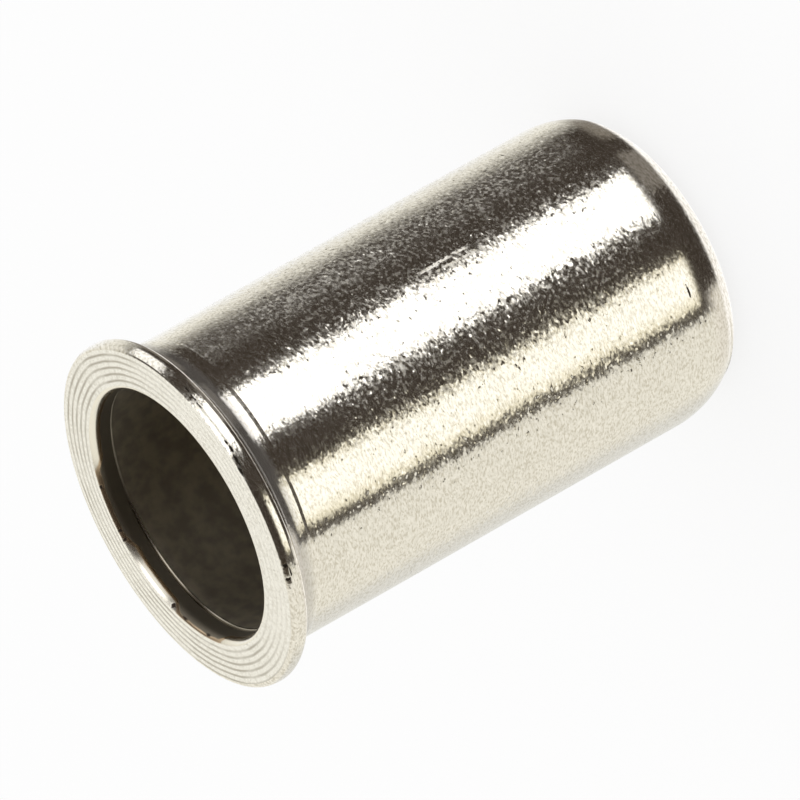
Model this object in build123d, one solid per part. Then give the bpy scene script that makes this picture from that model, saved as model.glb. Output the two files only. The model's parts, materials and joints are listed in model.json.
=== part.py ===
from build123d import *
import os
from math import radians, sqrt, tan

# Blind rivet nut with a small flat flange, an open threaded end and a smooth thin-walled sleeve
# below the flange. It stands on its threaded end: Z runs up the axis and the flange is at the top.
# All sizes are in millimetres.

# Driving dimensions
body_length = 12.5          # threaded end to flange face
shank_diameter = 7.0
sleeve_wall = 0.6           # thin wall that folds when the nut is set
flange_thickness = 0.45
flange_overhang = 0.5       # how far the flange stands out from the shank
flange_front_round = 0.12
flange_back_round = 0.2
collar_height = 0.6         # slightly thicker stretch of shank under the flange
collar_swell = 0.03         # how far the collar stands out from the shank
collar_step_height = 0.05   # short taper from the collar down to the shank
collar_corner_round = 0.15  # hollow round between the collar and the back of the flange
mouth_round = 0.12          # turned-over edge at the mouth of the sleeve
nose_length = 1.1           # rounded threaded end, measured along the axis
nose_depth = 0.85           # the same round, measured across the wall
thread_diameter = 5.0
thread_pitch = 0.8
thread_length = 6.3
thread_end_chamfer = 0.15
drill_point_angle = 118.0   # cone left by the drill at the bottom of the sleeve

# Held at any size
narrowest_flat = 0.1        # least width that a round leaves of a flat face beside it
thread_depth_share = 5 / 8 * sqrt(3) / 2   # depth of a metric thread, as a share of its pitch

# Radii
shank_radius = shank_diameter / 2
sleeve_radius = shank_radius - sleeve_wall
flange_radius = shank_radius + flange_overhang
collar_radius = shank_radius + collar_swell
thread_core_radius = thread_diameter / 2 - thread_depth_share * thread_pitch
chamfer_radius = thread_core_radius + thread_end_chamfer

# Heights above the threaded end
seat_level = body_length - flange_thickness
collar_level = seat_level - collar_height
shank_top_level = collar_level - collar_step_height
cone_height = (sleeve_radius - thread_core_radius) / tan(radians(drill_point_angle / 2))
sleeve_level = thread_length + cone_height

# Rounds, held within the faces that they run on
rim_room = flange_thickness - narrowest_flat
seat_room = flange_radius - collar_radius - collar_corner_round - narrowest_flat
front_round = min(flange_front_round, rim_room / 2)
back_round = min(flange_back_round, rim_room - front_round, seat_room)
nose_across = min(nose_depth, shank_radius - chamfer_radius - narrowest_flat)


def ring_edges(solid, radius, level):
    """The circular edges of a solid that have this radius and lie at this height."""
    tolerance = 0.001
    circles = solid.edges().filter_by(GeomType.CIRCLE)
    at_level = circles.filter_by(lambda edge: abs(edge.center().Z - level) < tolerance)
    return at_level.filter_by(lambda edge: abs(edge.radius - radius) < tolerance)


def headed_blank():
    """Outside of the nut: rounded nose, shank, collar and flange, with the flange rim rounded."""
    with BuildPart() as blank:
        with BuildSketch(Plane.XZ):
            with BuildLine():
                nose = EllipticalCenterArc(
                    (shank_radius - nose_across, nose_length),
                    x_radius=nose_across,
                    y_radius=nose_length,
                    start_angle=270,
                    arc_size=90,
                )
                Polyline(
                    nose @ 1,
                    (shank_radius, shank_top_level),
                    (collar_radius, collar_level),
                    (collar_radius, seat_level),
                    (flange_radius, seat_level),
                    (flange_radius, body_length),
                    (0, body_length),
                    (0, 0),
                    nose @ 0,
                )
            make_face()
        revolve(axis=Axis.Z)
        fillet(ring_edges(blank, flange_radius, body_length), radius=front_round)
        fillet(ring_edges(blank, flange_radius, seat_level), radius=back_round)
        fillet(ring_edges(blank, collar_radius, seat_level), radius=collar_corner_round)
    return blank.part


def stepped_bore():
    """Everything cut from the inside: thread core, drill cone and the smooth sleeve bore."""
    with BuildPart() as bore:
        with BuildSketch(Plane.XZ):
            with BuildLine():
                Polyline(
                    (0, 0),
                    (chamfer_radius, 0),
                    (thread_core_radius, thread_end_chamfer),
                    (thread_core_radius, thread_length),
                    (sleeve_radius, sleeve_level),
                    (sleeve_radius, body_length),
                    (0, body_length),
                    close=True,
                )
            make_face()
        revolve(axis=Axis.Z)
    return bore.part


def rivet_nut():
    """The whole nut, one piece, with the edge of its mouth turned over."""
    nut = headed_blank() - stepped_bore()
    return fillet(ring_edges(nut, sleeve_radius, body_length), radius=mouth_round)


nut_body = rivet_nut()
nut_body.label = "nut_body"

os.makedirs("parts", exist_ok=True)
export_step(nut_body, "parts/nut_body.step")
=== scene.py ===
import json
import math

import bmesh
import bpy
from mathutils import Matrix, Vector, noise


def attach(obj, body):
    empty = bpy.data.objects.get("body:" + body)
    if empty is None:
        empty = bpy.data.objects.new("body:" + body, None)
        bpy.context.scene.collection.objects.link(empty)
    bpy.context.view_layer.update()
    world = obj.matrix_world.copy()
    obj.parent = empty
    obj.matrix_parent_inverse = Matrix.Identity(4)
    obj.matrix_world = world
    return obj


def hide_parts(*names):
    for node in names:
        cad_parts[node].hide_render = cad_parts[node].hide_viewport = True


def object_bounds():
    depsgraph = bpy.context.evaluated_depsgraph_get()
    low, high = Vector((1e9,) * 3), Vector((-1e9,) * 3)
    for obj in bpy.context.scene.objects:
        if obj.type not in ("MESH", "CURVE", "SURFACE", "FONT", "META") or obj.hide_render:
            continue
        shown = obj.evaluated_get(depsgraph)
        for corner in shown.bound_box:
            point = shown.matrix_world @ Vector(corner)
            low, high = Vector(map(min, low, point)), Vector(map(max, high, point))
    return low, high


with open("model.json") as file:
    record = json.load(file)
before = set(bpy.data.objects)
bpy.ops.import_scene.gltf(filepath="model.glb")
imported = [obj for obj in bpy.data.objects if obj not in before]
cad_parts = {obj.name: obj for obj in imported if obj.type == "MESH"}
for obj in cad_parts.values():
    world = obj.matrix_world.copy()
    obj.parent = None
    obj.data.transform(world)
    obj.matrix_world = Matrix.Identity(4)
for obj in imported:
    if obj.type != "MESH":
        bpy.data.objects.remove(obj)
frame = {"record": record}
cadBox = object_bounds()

mm = 0.001  # every size below is in millimetres, the scene is in metres
mounts = {mount["name"]: mount for mount in frame["record"]["mounts"]}
bodyHeight = cadBox[1].z / mm
rimRadius = cadBox[1].x / mm
shankRadius = mounts["shank"]["dims"]["r_mm"]
sleeveRadius = mounts["sleeve_bore"]["dims"]["r_mm"]
coreRadius = mounts["thread"]["dims"]["r_mm"]
seatLevel = mounts["flange_seat"]["pos_m"][2] / mm


# Short ways to write shader nodes.
def plug(tree, value, socket):
    if isinstance(value, bpy.types.NodeSocket):
        tree.links.new(value, socket)
    else:
        socket.default_value = value


def addNode(tree, kind, values, **settings):
    made = tree.nodes.new("ShaderNode" + kind)
    for name, setting in settings.items():
        setattr(made, name, setting)
    for name, value in values.items():
        plug(tree, value, made.inputs[name])
    return made


def maths(tree, operation, first, second=0.0):
    return addNode(tree, "Math", {0: first, 1: second}, operation=operation).outputs[0]


def times(tree, first, second):
    return maths(tree, "MULTIPLY", first, second)


def vectorMaths(tree, operation, first, second=(0.0, 0.0, 0.0)):
    return addNode(tree, "VectorMath", {0: first, 1: second}, operation=operation).outputs["Vector"]


def stretch(tree, vector, amount):
    return addNode(tree, "VectorMath", {0: vector, "Scale": amount}, operation="SCALE").outputs["Vector"]


def fade(tree, value, start, end, low=0.0, high=1.0):
    values = {"Value": value, "From Min": start, "From Max": end, "To Min": low, "To Max": high}
    return addNode(tree, "MapRange", values, interpolation_type="SMOOTHSTEP").outputs["Result"]


def between(tree, value, low, high, softLow, softHigh):
    rising = fade(tree, value, low - softLow, low + softLow)
    falling = fade(tree, value, high - softHigh, high + softHigh, 1.0, 0.0)
    return times(tree, rising, falling)


def mixColours(tree, amount, first, second):
    return addNode(tree, "Mix", {0: amount, 6: first, 7: second}, data_type="RGBA").outputs[2]


def grain(tree, place, size, detail=1.0):
    return addNode(tree, "TexNoise", {"Vector": place, "Scale": 1.0 / size, "Detail": detail})


def sway(tree, place, size, detail=1.0):
    # A number that wanders either side of nothing.
    return maths(tree, "SUBTRACT", grain(tree, place, size, detail).outputs[0], 0.5)


# The camera looks along +Y from a little above, and is turned about its own axis.
viewpoint = {"elevation": 24.97, "turned": -119.32, "distance": 306.25, "lens": 659.2, "sensor": 36.0,
             "aimAcross": -0.167, "aimHeight": 0.539, "clipStart": 1.0, "clipEnd": 5000.0}


def makeCamera():
    data = bpy.data.cameras.new("camera")
    data.lens = viewpoint["lens"]
    data.sensor_width = viewpoint["sensor"]
    data.clip_start = viewpoint["clipStart"] * mm
    data.clip_end = viewpoint["clipEnd"] * mm
    camera = bpy.data.objects.new("camera", data)
    tilt = math.radians(viewpoint["elevation"])
    aim = Vector((viewpoint["aimAcross"], 0.0, viewpoint["aimHeight"] * bodyHeight))
    back = Vector((0.0, -math.cos(tilt), math.sin(tilt)))
    camera.location = (aim + back * viewpoint["distance"]) * mm
    tipped = Matrix.Rotation(math.pi / 2 - tilt, 3, "X")
    turned = Matrix.Rotation(math.radians(viewpoint["turned"]), 3, "Z")
    camera.rotation_euler = (tipped @ turned).to_euler()
    bpy.context.collection.objects.link(camera)
    bpy.context.scene.camera = camera
    print("camera set")


# The bright boxes, dark cards and paper that the plating mirrors. Each one stands in the direction where
# somebody at the viewpoint sees it on metal that faces this way: "turn" runs round from +X towards +Y
# and "lean" up from level, in degrees. "soft" is the half width of its left, right, lower and upper edge.
# A panel covers the ones before it.
studio = {
    "backdrop": (1.0, 1.0, 1.0, 1.0),
    "paper": (0.99, 0.975, 0.905, 1.0),
    "panels": {
        "left sheet": {"turn": (-190, -156), "lean": (-90, 40), "soft": (1, 6, 4, 10),
                       "tone": (0.84, 0.84, 0.81, 1.0)},
        "pale sheet": {"turn": (-12, 60), "lean": (-90, 60), "soft": (9, 20, 4, 20),
                       "tone": (1.10, 1.12, 1.15, 1.0)},
        "dark room": {"turn": (-120.6, -26.0), "lean": (-50, 82), "soft": (0.4, 8, 2, 4),
                      "tone": (0.062, 0.051, 0.043, 1.0)},
        "dark flap": {"turn": (-124.5, -118), "lean": (13, 76), "soft": (0.6, 1, 3, 8),
                      "tone": (0.060, 0.045, 0.030, 1.0)},
        "brown card": {"turn": (-43, -20), "lean": (-50, -14), "soft": (2, 9, 3, 4),
                       "tone": (0.27, 0.245, 0.215, 1.0)},
        "pale corner": {"turn": (-150, -113.5), "lean": (-60, -17), "soft": (16, 2, 1, 6),
                        "tone": (0.93, 0.90, 0.84, 1.0)},
        "lower sheet": {"turn": (-142, -26), "lean": (-95, -31.5), "soft": (16, 6, 1, 2.5),
                        "tone": (1.25, 1.24, 1.24, 1.0)},
        "yellow edge": {"turn": (-115.9, -97.2), "lean": (-9.5, 7), "soft": (0.8, 0.7, 2.0, 1.5),
                        "tone": (1.12, 1.06, 0.85, 1.0)},
        "yellow box": {"turn": (-112.5, -98.8), "lean": (-8.5, 6), "soft": (3.0, 1.2, 2.0, 1.5),
                       "tone": (1.44, 1.43, 1.35, 1.0)},
        "white box": {"turn": (-80.7, -61.3), "lean": (-8, 95), "soft": (0.6, 0.7, 2.0, 4),
                      "tone": (2.0, 2.0, 2.0, 1.0)},
        "thin veil": {"turn": (-80.7, -61.3), "lean": (13, 33), "soft": (0.6, 0.7, 2.0, 3),
                      "tone": (0.98, 0.97, 0.94, 1.0)},
        "small box": {"turn": (-45, -30), "lean": (2.5, 60), "soft": (1, 1.5, 1, 4),
                      "tone": (1.35, 1.35, 1.35, 1.0)},
        "grey card": {"turn": (-72, -53), "lean": (-30.3, -11.8), "soft": (0.6, 1, 1, 1),
                      "tone": (0.25, 0.23, 0.21, 1.0)},
        "rear card": {"turn": (75, 120), "lean": (-40, 50), "soft": (4, 8, 6, 8),
                      "tone": (0.16, 0.15, 0.14, 1.0)},
    },
}


def makeStudio():
    world = bpy.data.worlds.new("studio")
    bpy.context.scene.world = world
    world.use_nodes = True
    world.cycles.sampling_method = "NONE"  # mirrored rays find the panels, which aren't sampled as lamps
    tree = world.node_tree
    elevation = math.radians(viewpoint["elevation"])
    towardsViewer = (0.0, -math.cos(elevation), math.sin(elevation))
    direction = addNode(tree, "TexCoord", {}).outputs["Generated"]
    metalFaces = vectorMaths(tree, "NORMALIZE", vectorMaths(tree, "ADD", direction, towardsViewer))
    along = addNode(tree, "SeparateXYZ", {"Vector": metalFaces}).outputs
    turn = maths(tree, "DEGREES", maths(tree, "ARCTAN2", along["Y"], along["X"]))
    lean = maths(tree, "DEGREES", maths(tree, "ARCSINE", along["Z"]))
    mirrored = studio["paper"]
    for panel in studio["panels"].values():
        left, right, lower, upper = panel["soft"]
        acrossPanel = between(tree, turn, *panel["turn"], left, right)
        upPanel = between(tree, lean, *panel["lean"], lower, upper)
        mirrored = mixColours(tree, times(tree, acrossPanel, upPanel), mirrored, panel["tone"])
    # The camera sees a plain white backdrop, and the metal mirrors the panels that stand before paper.
    rays = addNode(tree, "LightPath", {}).outputs
    seen = mixColours(tree, rays["Is Glossy Ray"], studio["backdrop"], mirrored)
    plug(tree, seen, tree.nodes["Background"].inputs["Color"])
    print("studio made")


floorLook = {"radius": 600.0, "sides": 96, "drop": 0.02, "colour": (0.93, 0.93, 0.93, 1.0),
             "roughness": 0.9, "glow": (1.0, 1.0, 1.0, 1.0), "shadowKept": 0.2}


def floorFinish():
    material = bpy.data.materials.new("pale_floor")
    material.use_nodes = True
    tree = material.node_tree
    shader = tree.nodes["Principled BSDF"]
    plug(tree, floorLook["colour"], shader.inputs["Base Color"])
    plug(tree, floorLook["roughness"], shader.inputs["Roughness"])
    glow = addNode(tree, "Emission", {"Color": floorLook["glow"]})
    rays = addNode(tree, "LightPath", {}).outputs
    seen = maths(tree, "ADD", rays["Is Camera Ray"], rays["Is Transmission Ray"])
    amount = times(tree, seen, 1.0 - floorLook["shadowKept"])
    both = addNode(tree, "MixShader", {0: amount, 1: shader.outputs[0], 2: glow.outputs[0]})
    plug(tree, both.outputs[0], tree.nodes["Material Output"].inputs["Surface"])
    return material


def makeFloor():
    sides = floorLook["sides"]
    reach = floorLook["radius"] * mm
    turns = [math.tau * side / sides for side in range(sides)]
    edge = [(reach * math.cos(turn), reach * math.sin(turn), 0.0) for turn in turns]
    mesh = bpy.data.meshes.new("floor")
    mesh.from_pydata(edge, [], [list(range(sides))])
    mesh.materials.append(floorFinish())
    floor = bpy.data.objects.new("floor", mesh)
    floor.location.z = -floorLook["drop"] * mm
    floor.visible_glossy = False  # the plating mirrors the studio panels, not the floor
    bpy.context.collection.objects.link(floor)
    print("floor laid")


# What a user would change on the nut. Depths are measured down from the flange face, and a tilt is a rise
# for each millimetre across.
nutBody = {
    "columns": 640, "sleeveRows": 5, "shankRows": 20,
    "lipAcross": 0.12, "lipDown": 0.2, "roundSteps": 9,
    "faceRings": 6, "firstRing": 3.14, "ringPitch": 0.15, "ringCut": 0.003, "ringHalfWidth": 0.03,
    "rimBackRound": 0.23, "rimBulge": 0.72, "rimBulgeAngle": 10.0, "rimBulgeSteps": 3, "rimShift": -0.035,
    "neckOut": 0.27, "neckDown": 0.44, "neckSteps": 6, "collarSwell": 0.03,
    "creaseDepth": 1.06, "creaseWidth": 0.11, "creaseDrop": 0.0205, "creaseTilt": 0.030,
    "creaseTiltEnds": 3.0, "creaseBlend": 0.2, "creaseShares": (0.0, 0.15, 0.85, 1.0),
    "creaseGroove": 0.002, "creaseGrooveWidth": 0.05,
    "noseLength": 1.4, "noseDepth": 0.80, "noseSteps": 22, "noseShift": 0.045, "noseShiftEnds": 0.3,
    "stepDepth": 0.47, "stepProud": 0.056, "stepRound": 0.04, "stepSteps": 5, "stepRunout": 0.35,
    "stepHighest": 120.0, "drillPoint": 118.0,
    "waviness": 0.004, "wavinessSize": 2.2, "wavinessLong": 0.6,
    "edgeBand": 0.03, "blendBand": 0.04,  # narrow rows beside an edge, which keep the shading of a flat even
    "weldGap": 0.0001, "sharpAngle": 35.0,
}

# The thread, and where the edges of its profile fall as shares of a pitch.
thread = {"columns": 160, "length": 6.3, "majorRadius": 2.5, "pitch": 0.8, "chamfer": 0.15,
          "shares": (0.0, 0.05, 0.075, 0.36, 0.39, 0.61, 0.64, 0.925, 0.95)}

# Nicks in the rim and the mouth, and a mark near the nose: turn round the nut in degrees, depth, and half
# width round it and down it.
nicks = {
    "outside": [(-57.0, 0.125, 0.09, 0.018), (-60.3, 0.10, 0.12, 0.020), (-63.6, 0.08, 0.11, 0.016),
                (-78.0, 0.06, 0.07, 0.020), (-80.5, 0.07, 0.10, 0.022), (-84.5, 0.045, 0.16, 0.025),
                (-87.5, 0.01, 0.12, 0.020), (-119.8, 0.05, 0.05, 0.045), (-124.6, 0.05, 0.05, 0.050),
                (-122.3, 0.12, 0.10, 0.020), (-109.0, 11.235, 0.17, 0.028)],
    "mouth": [(64.0, 0.02, 0.05, 0.03), (84.0, 0.03, 0.05, 0.03), (88.0, 0.02, 0.04, 0.05),
              (122.8, 0.05, 0.06, 0.05), (131.0, 0.03, 0.10, 0.02), (147.0, 0.03, 0.08, 0.02)],
}
nickLook = {"cut": 0.006, "raggedSize": 0.06, "raggedness": 3.0, "edge": (0.5, 1.3)}


barrelFinish, faceFinish, boreFinish = range(3)
drillSlope = math.tan(math.radians(nutBody["drillPoint"] / 2))
sleeveFloor = thread["length"] + (sleeveRadius - coreRadius) / drillSlope
neckEnd = seatLevel - nutBody["neckDown"]


# A row is a radius, a level and the finish of the faces from it to the next row.
def straightRows(radius, start, end, steps, finish):
    return [(radius, start + (end - start) * step / steps, finish) for step in range(steps + 1)]


def roundedRows(centre, across, down, start, end, steps, finish):
    rows = []
    for step in range(steps + 1):
        angle = math.radians(start + (end - start) * step / steps)
        rows.append((centre[0] + across * math.cos(angle), centre[1] + down * math.sin(angle), finish))
    return rows


def sleeveRows():
    sizes = nutBody
    small = sizes["stepRound"]
    proud = sizes["stepProud"]
    stepLevel = bodyHeight - sizes["stepDepth"]
    runoutLevel = stepLevel - sizes["stepRunout"]
    rows = straightRows(sleeveRadius, sleeveFloor, runoutLevel, sizes["sleeveRows"], boreFinish)
    rows += roundedRows((sleeveRadius, stepLevel - small), proud, small, 180, 90, sizes["stepSteps"],
                        boreFinish)
    rows.append((sleeveRadius, stepLevel + small, boreFinish))
    rows.append((sleeveRadius, bodyHeight - sizes["lipDown"] - small, boreFinish))
    return rows


def faceRows():
    sizes = nutBody
    lip = sizes["lipAcross"]
    half = sizes["ringHalfWidth"]
    centre = (sleeveRadius + lip, bodyHeight - sizes["lipDown"])
    rows = roundedRows(centre, lip, sizes["lipDown"], 180, 95, sizes["roundSteps"], boreFinish)
    rows.append((sleeveRadius + lip, bodyHeight, faceFinish))
    for ring in range(sizes["faceRings"] - 1):
        middle = sizes["firstRing"] + ring * sizes["ringPitch"]
        rows.append((middle - half, bodyHeight, faceFinish))
        rows.append((middle, bodyHeight - sizes["ringCut"], faceFinish))
        rows.append((middle + half, bodyHeight, faceFinish))
    return rows


def rimRows():
    # A tight round at the front runs into a slight bulge, and a larger round leads to the back. The second
    # and third start a little way in, because the one before has already made that row.
    sizes = nutBody
    steps = sizes["roundSteps"]
    bulge = sizes["rimBulge"]
    bulgeAngle = sizes["rimBulgeAngle"]
    lean = math.radians(bulgeAngle)
    back = sizes["rimBackRound"]
    widest = seatLevel + back
    bulgeCentre = (rimRadius - bulge, widest)
    frontDepth = bodyHeight - widest - bulge * math.sin(lean)
    front = frontDepth / (1 - math.sin(lean))
    frontCentre = (bulgeCentre[0] + (bulge - front) * math.cos(lean), bodyHeight - front)
    rows = [(frontCentre[0] - sizes["edgeBand"], bodyHeight, faceFinish)]
    rows += roundedRows(frontCentre, front, front, 90, bulgeAngle, steps, barrelFinish)
    rows += roundedRows(bulgeCentre, bulge, bulge, bulgeAngle * 0.75, 0, sizes["rimBulgeSteps"], barrelFinish)
    rows += roundedRows((rimRadius - back, widest), back, back, -8, -90, steps, barrelFinish)
    return rows


def creaseRows():
    # The collar ends in a short sloping wall with rows close to both its edges, so that they stay crisp, and
    # a shallow groove at its foot.
    sizes = nutBody
    crease = bodyHeight - sizes["creaseDepth"]
    width = sizes["creaseWidth"]
    wallTop = shankRadius + sizes["creaseDrop"]
    wallFoot = shankRadius - sizes["creaseGroove"]
    rows = [(wallTop, crease + width * (0.5 + sizes["creaseBlend"]), barrelFinish)]
    for share in sizes["creaseShares"]:
        rows.append((wallTop + (wallFoot - wallTop) * share, crease + width * (0.5 - share), barrelFinish))
    rows.append((shankRadius, crease - width / 2 - sizes["creaseGrooveWidth"], barrelFinish))
    return rows


def shankRows():
    sizes = nutBody
    across = sizes["noseDepth"]
    length = sizes["noseLength"]
    collarRadius = shankRadius + sizes["collarSwell"]
    neckCentre = (collarRadius + sizes["neckOut"], neckEnd)
    rows = roundedRows(neckCentre, sizes["neckOut"], sizes["neckDown"], 90, 180, sizes["neckSteps"],
                       barrelFinish)
    rows.append((collarRadius, neckEnd - sizes["blendBand"], barrelFinish))
    rows += creaseRows()
    top = rows[-1][1] - sizes["edgeBand"]
    rows += straightRows(shankRadius, top, length + sizes["blendBand"], sizes["shankRows"], barrelFinish)
    rows += roundedRows((shankRadius - across, length), across, length, 0, -90, sizes["noseSteps"],
                        barrelFinish)
    rows.append((shankRadius - across - sizes["edgeBand"], 0.0, faceFinish))
    rows.append((coreRadius + thread["chamfer"], 0.0, faceFinish))
    return rows


def nickDepth(spots, radius, level, angle):
    cut = 0.0
    for turn, depth, halfWidth, halfHeight in spots:
        across = (math.degrees(angle) - turn + 180.0) % 360.0 - 180.0
        across = math.radians(across) * radius / halfWidth
        down = (bodyHeight - depth - level) / halfHeight
        cut += nickLook["cut"] * math.exp(-across * across - down * down)
    return cut


def placed(radius, level, angle):
    # Moves a point of the true outline to where it stands on this slightly uneven nut.
    sizes = nutBody
    x = radius * math.cos(angle)
    y = radius * math.sin(angle)
    crease = bodyHeight - sizes["creaseDepth"]
    shift = 0.0
    if radius > shankRadius and level > neckEnd:
        # The rim stands slightly off the axis, and has been knocked here and there.
        share = (radius - shankRadius) / (rimRadius - shankRadius)
        shift = sizes["rimShift"] * share
        radius -= nickDepth(nicks["outside"], radius, level, angle) * share
    elif radius > sleeveRadius + sizes["lipAcross"] * 2 and level < neckEnd:
        # The crease below the collar runs slightly askew, and the drawn wall isn't quite even.
        reach = min(1.0, (neckEnd - level) / (neckEnd - crease))
        if level < crease:
            reach = max(0.0, 1.0 - (crease - level) / sizes["creaseTiltEnds"])
        level -= sizes["creaseTilt"] * x * reach
        spot = Vector((x, y, level * sizes["wavinessLong"])) / sizes["wavinessSize"]
        radius += sizes["waviness"] * noise.noise(spot) * min(1.0, neckEnd - level)
        if level < sizes["noseLength"]:
            # The end of the nose stands slightly off the axis, but the thread's mouth doesn't.
            fromThread = (radius - coreRadius - thread["chamfer"]) / sizes["noseShiftEnds"]
            share = (1.0 - level / sizes["noseLength"]) * min(1.0, fromThread)
            shift = sizes["noseShift"] * share
    elif level > bodyHeight - sizes["stepDepth"] / 2:
        radius += nickDepth(nicks["mouth"], radius, level, angle)
    elif abs(level - bodyHeight + sizes["stepDepth"]) < sizes["stepRunout"] and radius < sleeveRadius:
        # The step in the sleeve stands proud on one side and dies out on the other.
        share = (1.0 + math.cos(angle - math.radians(sizes["stepHighest"]))) / 2
        radius = sleeveRadius + (radius - sleeveRadius) * share * share
    return ((radius * math.cos(angle) + shift) * mm, radius * math.sin(angle) * mm, level * mm)


def threadRadius(level, angle):
    # A 60 degree thread with flats at root and crest, held between the core and the major radius.
    turn = (level / thread["pitch"] - angle / math.tau) % 1.0
    fromRoot = min(turn, 1.0 - turn) * thread["pitch"]
    cut = thread["majorRadius"] - (fromRoot - thread["pitch"] / 16) * math.sqrt(3)
    cut = min(max(cut, coreRadius), thread["majorRadius"])
    cone = coreRadius + (level - thread["length"]) * drillSlope
    chamfer = coreRadius + thread["chamfer"]
    return max(min(cut, chamfer + level), cone, chamfer - level)


def addOutside(body):
    # The outline turned round the axis, from the bottom of the sleeve over the rim to the threaded end.
    columns = nutBody["columns"]
    outline = sleeveRows() + faceRows() + rimRows() + shankRows()
    angles = [math.tau * column / columns for column in range(columns)]
    rows = []
    for radius, level, finish in outline:
        rows.append([body.verts.new(placed(radius, level, angle)) for angle in angles])
    for row in range(len(rows) - 1):
        for column in range(columns):
            after = (column + 1) % columns
            quad = (rows[row][column], rows[row + 1][column], rows[row + 1][after], rows[row][after])
            body.faces.new(quad).material_index = outline[row][2]
    return rows[0], rows[-1]


def addThread(body):
    # The thread is a grid whose rows climb one pitch in a turn, so its seam joins one pitch further up.
    columns = thread["columns"]
    shares = thread["shares"]
    turns = math.ceil(sleeveFloor / thread["pitch"]) + 1
    helix = []
    for index in range(turns * len(shares) + 1):
        whole, part = divmod(index, len(shares))
        row = []
        for column in range(columns):
            angle = math.tau * column / columns
            level = thread["pitch"] * (whole - 1 + shares[part] + column / columns)
            level = min(max(level, 0.0), sleeveFloor)
            radius = threadRadius(level, angle)
            place = (radius * math.cos(angle) * mm, radius * math.sin(angle) * mm, level * mm)
            row.append(body.verts.new(place))
        helix.append(row)
    last = len(helix) - 1
    for index in range(last):
        for column in range(columns):
            low, high = helix[index][column], helix[index + 1][column]
            if column < columns - 1:
                nextLow, nextHigh = helix[index][column + 1], helix[index + 1][column + 1]
            else:
                nextLow = helix[min(index + len(shares), last)][0]
                nextHigh = helix[min(index + 1 + len(shares), last)][0]
            corners = tuple(dict.fromkeys((low, high, nextHigh, nextLow)))
            if len(corners) > 2:
                body.faces.new(corners).material_index = boreFinish


def closeSeam(body, ring):
    # Fills the slivers between the outside's fine columns and the thread's coarse ones.
    many = nutBody["columns"] // thread["columns"]
    for first in range(0, len(ring), many):
        corners = [ring[(first + step) % len(ring)] for step in range(many + 1)]
        body.faces.new(corners).material_index = boreFinish


def makeNutBody():
    body = bmesh.new()
    sleeveRing, endRing = addOutside(body)
    closeSeam(body, sleeveRing)
    closeSeam(body, endRing)
    addThread(body)
    bmesh.ops.remove_doubles(body, verts=body.verts, dist=nutBody["weldGap"] * mm)
    bmesh.ops.recalc_face_normals(body, faces=body.faces)
    mesh = bpy.data.meshes.new("plated_nut_body")
    body.to_mesh(mesh)
    body.free()
    for finish in (platedBarrel(), turnedFace(), darkBore()):
        mesh.materials.append(finish)
    mesh.shade_smooth()
    mesh.set_sharp_from_angle(angle=math.radians(nutBody["sharpAngle"]))
    nut = bpy.data.objects.new("plated_nut_body", mesh)
    bpy.context.collection.objects.link(nut)
    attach(nut, "root")
    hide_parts("nut_body")
    print("nut body turned:", len(mesh.polygons), "faces")


# What the three finishes share.
def startFinish(name):
    material = bpy.data.materials.new(name)
    material.use_nodes = True
    tree = material.node_tree
    shader = tree.nodes["Principled BSDF"]
    plug(tree, 1.0, shader.inputs["Metallic"])
    place = stretch(tree, addNode(tree, "TexCoord", {}).outputs["Object"], 1.0 / mm)
    return material, tree, shader, place


def turnAndLevel(tree, place):
    parts = addNode(tree, "SeparateXYZ", {"Vector": place}).outputs
    turn = maths(tree, "DEGREES", maths(tree, "ARCTAN2", parts["Y"], parts["X"]))
    return turn, parts["Z"]


def sideShare(tree, place, turn):
    # One on the side of the nut that faces this turn, falling to minus one on the far side.
    heading = (math.cos(math.radians(turn)), math.sin(math.radians(turn)), 0.0)
    outwards = vectorMaths(tree, "NORMALIZE", vectorMaths(tree, "MULTIPLY", place, (1.0, 1.0, 0.0)))
    return addNode(tree, "VectorMath", {0: outwards, 1: heading}, operation="DOT_PRODUCT").outputs["Value"]


def nickMask(tree, place, turn, level, radius, spots):
    # One where the nicks have torn the plating, with a ragged edge.
    ragged = times(tree, sway(tree, place, nickLook["raggedSize"], detail=2.0), nickLook["raggedness"])
    mask = 0.0
    for middle, depth, halfWidth, halfHeight in spots:
        halfTurn = math.degrees(halfWidth / radius)
        across = maths(tree, "DIVIDE", maths(tree, "SUBTRACT", turn, middle), halfTurn)
        down = maths(tree, "DIVIDE", maths(tree, "SUBTRACT", level, bodyHeight - depth), halfHeight)
        away = maths(tree, "ADD", times(tree, across, across), times(tree, down, down))
        spot = fade(tree, maths(tree, "ADD", away, ragged), *nickLook["edge"], 1.0, 0.0)
        mask = maths(tree, "MAXIMUM", mask, spot)
    return mask


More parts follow.
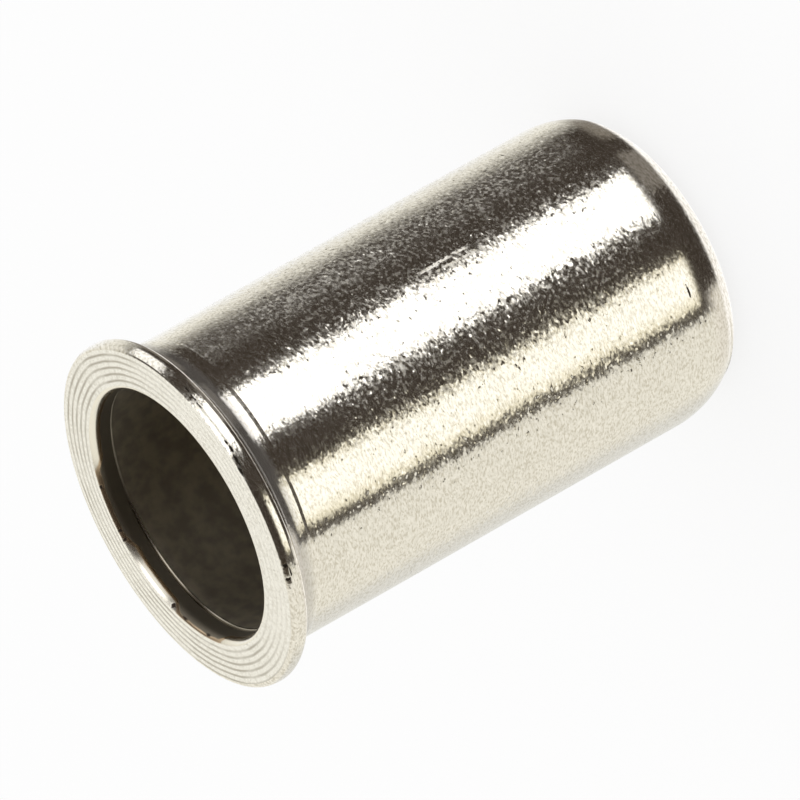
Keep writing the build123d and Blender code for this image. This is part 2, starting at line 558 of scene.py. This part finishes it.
plating = {
    "colour": (0.87, 0.835, 0.765, 1.0), "roughness": 0.13,
    "tarnish": (0.75, 0.72, 0.65, 1.0), "tarnishSize": 0.11, "tarnishFlat": 2.2, "tarnishRange": (0.3, 0.75),
    "pit": (0.60, 0.56, 0.475, 1.0), "pitSize": 0.09, "pitRange": (0.42, 0.70),
    "speckRoughness": 0.34, "speckSize": 0.10, "speckFlat": 1.3, "speckRange": (0.32, 0.80),
    "waveSize": 0.9, "waveTilt": (0.05, 0.02, 0.0), "grainSway": 0.25,
    "grainSize": 0.085, "grainFlat": 1.4, "grainTilt": (0.20, 0.06, 0.0),
    "peakSize": 0.12, "peakTilt": (1.0, 0.4, 0.0),
    "smoothEnd": 0.8, "roughEnd": 3.0, "roughTop": 8.4, "smoothTop": 11.0, "leastBite": 0.5,
    "calmSide": -150.0, "calmRange": (0.5, 0.87), "calmBite": 0.52,
    # The colour and amounts below paint shade into the hollow under the flange.
    "film": (0.38, 0.36, 0.34, 1.0), "filmAmount": 0.8, "filmCover": 0.12, "filmSoft": (0.12, 0.06),
    "torn": (0.035, 0.028, 0.022, 1.0), "tornRoughness": 0.4,
}

# Scratches run up the shank. "slope" is how far one turns in a millimetre, and "faces" is the way that its
# bright side faces.
scratches = [
    {"turn": -56.6, "from": 5.0, "to": 6.35, "slope": 0.0, "width": 1.1, "faces": -61.5},
    {"turn": -59.8, "from": 5.1, "to": 6.0, "slope": 0.5, "width": 0.8, "faces": -61.3},
    {"turn": -61.8, "from": 4.65, "to": 5.15, "slope": 7.0, "width": 0.8, "faces": -60.7},
]
scratchLook = {"sway": 1.5, "swaySize": 1.1, "core": 0.4, "endSoft": 0.1,
               "breakSize": 0.12, "breakRange": (0.3, 0.5), "faintest": 0.4}


def unevenness(tree, place, size):
    return vectorMaths(tree, "SUBTRACT", grain(tree, place, size).outputs["Color"], (0.5, 0.5, 0.5))


def highPeaks(tree, place, size):
    # Noise about nothing that stays flat nearly everywhere, with a few high peaks.
    double = stretch(tree, unevenness(tree, place, size), 2.0)
    return vectorMaths(tree, "MULTIPLY", vectorMaths(tree, "MULTIPLY", double, double), double)


def scratched(tree, place, turn, level, tilts, scratch):
    # Along its wandering line a scratch turns the surface to face one way.
    look = scratchLook
    wander = times(tree, sway(tree, place, look["swaySize"]), look["sway"])
    climb = times(tree, maths(tree, "SUBTRACT", level, scratch["from"]), scratch["slope"])
    middle = maths(tree, "ADD", maths(tree, "ADD", scratch["turn"], wander), climb)
    offLine = maths(tree, "ABSOLUTE", maths(tree, "SUBTRACT", turn, middle))
    line = fade(tree, offLine, scratch["width"] * look["core"], scratch["width"], 1.0, 0.0)
    ends = between(tree, level, scratch["from"], scratch["to"], look["endSoft"], look["endSoft"])
    breaks = grain(tree, place, look["breakSize"]).outputs[0]
    whole = fade(tree, breaks, *look["breakRange"], look["faintest"], 1.0)
    line = times(tree, times(tree, line, ends), whole)
    lean = times(tree, maths(tree, "SUBTRACT", scratch["faces"], turn), math.radians(1.0))
    wanted = addNode(tree, "CombineXYZ", {"X": lean}).outputs[0]
    kept = stretch(tree, tilts, maths(tree, "SUBTRACT", 1.0, line))
    return vectorMaths(tree, "ADD", kept, stretch(tree, wanted, line))


def tilted(tree, tilts):
    # Leans the surface round the barrel by the first part of tilts and along it by the second.
    normal = addNode(tree, "NewGeometry", {}).outputs["Normal"]
    roundAxis = vectorMaths(tree, "NORMALIZE", vectorMaths(tree, "CROSS_PRODUCT", (0.0, 0.0, 1.0), normal))
    parts = addNode(tree, "SeparateXYZ", {"Vector": tilts}).outputs
    sideways = stretch(tree, roundAxis, parts["X"])
    lengthways = stretch(tree, vectorMaths(tree, "CROSS_PRODUCT", normal, roundAxis), parts["Y"])
    leaning = vectorMaths(tree, "ADD", vectorMaths(tree, "ADD", normal, sideways), lengthways)
    return vectorMaths(tree, "NORMALIZE", leaning)


def platedBarrel():
    look = plating
    material, tree, shader, place = startFinish("plated_barrel")
    turn, level = turnAndLevel(tree, place)
    waves = unevenness(tree, place, look["waveSize"])
    swayed = vectorMaths(tree, "ADD", place, stretch(tree, waves, look["grainSway"]))

    # The barrel finish has bitten deepest half way along the shank, and least on its calm side.
    rising = fade(tree, level, look["smoothEnd"], look["roughEnd"])
    falling = fade(tree, level, look["roughTop"], look["smoothTop"], 1.0, 0.0)
    bite = fade(tree, times(tree, rising, falling), 0.0, 1.0, look["leastBite"], 1.0)
    calm = fade(tree, sideShare(tree, place, look["calmSide"]), *look["calmRange"], 1.0, look["calmBite"])

    # Fine grain, high peaks, slow waves and scratches all lean the surface.
    grainPlace = vectorMaths(tree, "MULTIPLY", swayed, (1.0, 1.0, look["grainFlat"]))
    fine = vectorMaths(tree, "MULTIPLY", unevenness(tree, grainPlace, look["grainSize"]), look["grainTilt"])
    peaks = vectorMaths(tree, "MULTIPLY", highPeaks(tree, grainPlace, look["peakSize"]), look["peakTilt"])
    bitten = stretch(tree, vectorMaths(tree, "ADD", stretch(tree, fine, calm), peaks), bite)
    tilts = vectorMaths(tree, "ADD", bitten, vectorMaths(tree, "MULTIPLY", waves, look["waveTilt"]))
    for scratch in scratches:
        tilts = scratched(tree, place, turn, level, tilts, scratch)
    plug(tree, tilted(tree, tilts), shader.inputs["Normal"])

    # Dull specks and torn nicks make the plating rougher.
    speckPlace = vectorMaths(tree, "MULTIPLY", swayed, (1.0, 1.0, look["speckFlat"]))
    speckGrain = grain(tree, speckPlace, look["speckSize"], detail=2.0).outputs[0]
    dull = times(tree, times(tree, fade(tree, speckGrain, *look["speckRange"]), bite), calm)
    torn = nickMask(tree, place, turn, level, rimRadius, nicks["outside"])
    rough = fade(tree, dull, 0.0, 1.0, look["roughness"], look["speckRoughness"])
    rough = maths(tree, "MAXIMUM", rough, times(tree, torn, look["tornRoughness"]))
    plug(tree, rough, shader.inputs["Roughness"])

    # Tarnish and pits colour it. Painted shade darkens the hollow under the flange and makes it less
    # metallic, and nicks show dark steel.
    tarnishPlace = vectorMaths(tree, "MULTIPLY", swayed, (1.0, 1.0, look["tarnishFlat"]))
    tarnishGrain = grain(tree, tarnishPlace, look["tarnishSize"], detail=2.0).outputs[0]
    pitGrain = grain(tree, tarnishPlace, look["pitSize"], detail=2.0).outputs[0]
    tarnish = fade(tree, tarnishGrain, *look["tarnishRange"])
    colour = mixColours(tree, tarnish, look["colour"], look["tarnish"])
    colour = mixColours(tree, fade(tree, pitGrain, *look["pitRange"]), colour, look["pit"])
    # Painted shade: between the neck and the flange seat the base colour darkens towards a grey-brown, less
    # on the calm side, and the metallic drops there.
    hollow = between(tree, level, neckEnd, seatLevel, *look["filmSoft"])
    film = times(tree, times(tree, hollow, calm), look["filmAmount"])
    colour = mixColours(tree, film, colour, look["film"])
    plug(tree, mixColours(tree, torn, colour, look["torn"]), shader.inputs["Base Color"])
    plug(tree, fade(tree, hollow, 0.0, 1.0, 1.0, 1.0 - look["filmCover"]), shader.inputs["Metallic"])
    return material


turnedLook = {
    "colour": (0.86, 0.84, 0.785, 1.0), "roughness": 0.26,
    "speckColour": (0.74, 0.715, 0.65, 1.0), "speckSize": 0.07, "speckRange": (0.45, 0.7),
    # The groove colour is painted shade in the turned rings. It is patchy, and faintest on the side away from
    # one turn.
    "grooveColour": (0.40, 0.37, 0.31, 1.0), "grooveWidth": 0.32, "grooveSway": 0.06, "grooveSwaySize": 0.8,
    "wearSize": 0.9, "wearRange": (0.35, 0.65), "mostWorn": 0.5,
    "clearestSide": 75.0, "clearRange": (-0.75, -0.2), "faintest": 0.2,
}


def turnedFace():
    look = turnedLook
    material, tree, shader, place = startFinish("turned_face")
    flat = vectorMaths(tree, "MULTIPLY", place, (1.0, 1.0, 0.0))
    radius = addNode(tree, "VectorMath", {0: flat}, operation="LENGTH").outputs["Value"]
    # Painted shade in the rings: the base colour darkens towards the groove colour in each turned groove.
    # Noise makes it patchy, and it fades on the side facing away from the given turn.
    wander = times(tree, sway(tree, place, look["grooveSwaySize"], detail=2.0), look["grooveSway"])
    fromFirst = maths(tree, "SUBTRACT", maths(tree, "ADD", radius, wander), nutBody["firstRing"])
    offRing = maths(tree, "PINGPONG", maths(tree, "DIVIDE", fromFirst, nutBody["ringPitch"]), 0.5)
    groove = fade(tree, offRing, 0.0, look["grooveWidth"], 1.0, 0.0)
    shadePatchGrain = grain(tree, place, look["wearSize"]).outputs[0]
    worn = fade(tree, shadePatchGrain, *look["wearRange"], look["mostWorn"], 1.0)
    side = sideShare(tree, place, look["clearestSide"])
    grooveShadeBySide = fade(tree, side, *look["clearRange"], look["faintest"], 1.0)
    speckGrain = grain(tree, place, look["speckSize"], detail=2.0).outputs[0]
    specks = fade(tree, speckGrain, *look["speckRange"])
    colour = mixColours(tree, specks, look["colour"], look["speckColour"])
    shown = times(tree, groove, times(tree, worn, grooveShadeBySide))
    plug(tree, mixColours(tree, shown, colour, look["grooveColour"]), shader.inputs["Base Color"])
    plug(tree, look["roughness"], shader.inputs["Roughness"])
    return material


# "wornSides" are where the pale lip has worn away: turn, how far it reaches either side of it, both in
# degrees, and how much higher the dark of the bore comes there. The lip's ranges are shares of its height.
boreLook = {
    "colour": (0.51, 0.465, 0.375, 1.0), "darker": (0.37, 0.335, 0.28, 1.0), "roughness": 0.55,
    "mottleSize": 0.3, "mottleRange": (0.3, 0.7),
    "shaded": (0.22, 0.195, 0.155, 1.0), "shadeEnds": (-0.05, 0.1),
    "lip": (0.84, 0.80, 0.70, 1.0), "lipRoughness": 0.22, "lipCover": 0.02, "lipRange": (0.9, 1.1),
    "lipSway": 0.05, "lipSwaySize": 0.25,
    "fringe": (0.55, 0.42, 0.28, 1.0), "fringeRange": (0.45, 0.75),
    "wornSides": [(72.0, 18.0, 0.13), (141.0, 16.0, 0.17)], "wornSoft": 4.0,
    "ringEnds": (-0.02, 0.045), "ringSoft": 0.01, "ringSide": 125.0, "ringRange": (0.35, 0.8),
    "torn": (0.06, 0.045, 0.035, 1.0),
}


def darkBore():
    look = boreLook
    lipDown = nutBody["lipDown"]
    stepDepth = nutBody["stepDepth"]
    material, tree, shader, place = startFinish("dark_bore")
    turn, level = turnAndLevel(tree, place)
    depth = maths(tree, "SUBTRACT", bodyHeight, level)
    wander = times(tree, sway(tree, place, look["lipSwaySize"]), look["lipSway"])
    lipDepth = maths(tree, "ADD", depth, wander)
    for side, reach, amount in look["wornSides"]:
        edge = math.cos(math.radians(reach + look["wornSoft"]))
        middle = math.cos(math.radians(reach - look["wornSoft"]))
        worn = fade(tree, sideShare(tree, place, side), edge, middle, 0.0, amount)
        lipDepth = maths(tree, "ADD", lipDepth, worn)
    fringe = fade(tree, lipDepth, *[lipDown * share for share in look["fringeRange"]])
    inside = fade(tree, lipDepth, *[lipDown * share for share in look["lipRange"]])
    mottle = fade(tree, grain(tree, place, look["mottleSize"], detail=4.0).outputs[0], *look["mottleRange"])
    belowStep = fade(tree, depth, *[stepDepth + end for end in look["shadeEnds"]])
    wall = mixColours(tree, mottle, look["colour"], look["darker"])
    wall = mixColours(tree, belowStep, look["shaded"], wall)
    lip = mixColours(tree, fringe, look["lip"], look["fringe"])
    torn = nickMask(tree, place, turn, level, sleeveRadius, nicks["mouth"])
    colour = mixColours(tree, torn, mixColours(tree, inside, lip, wall), look["torn"])
    plug(tree, colour, shader.inputs["Base Color"])
    plug(tree, fade(tree, inside, 0.0, 1.0, 1.0 - look["lipCover"], 1.0), shader.inputs["Metallic"])

    # The rounded top of the step is rubbed bright on one side.
    ringEnds = [stepDepth + end for end in look["ringEnds"]]
    ring = between(tree, depth, *ringEnds, look["ringSoft"], look["ringSoft"])
    rubbed = fade(tree, sideShare(tree, place, look["ringSide"]), *look["ringRange"])
    dull = maths(tree, "MAXIMUM", maths(tree, "SUBTRACT", inside, times(tree, ring, rubbed)), torn)
    rough = fade(tree, dull, 0.0, 1.0, look["lipRoughness"], look["roughness"])
    plug(tree, rough, shader.inputs["Roughness"])
    return material


bpy.context.scene.view_settings.view_transform = "Standard"
makeCamera()
makeStudio()
makeFloor()
makeNutBody()
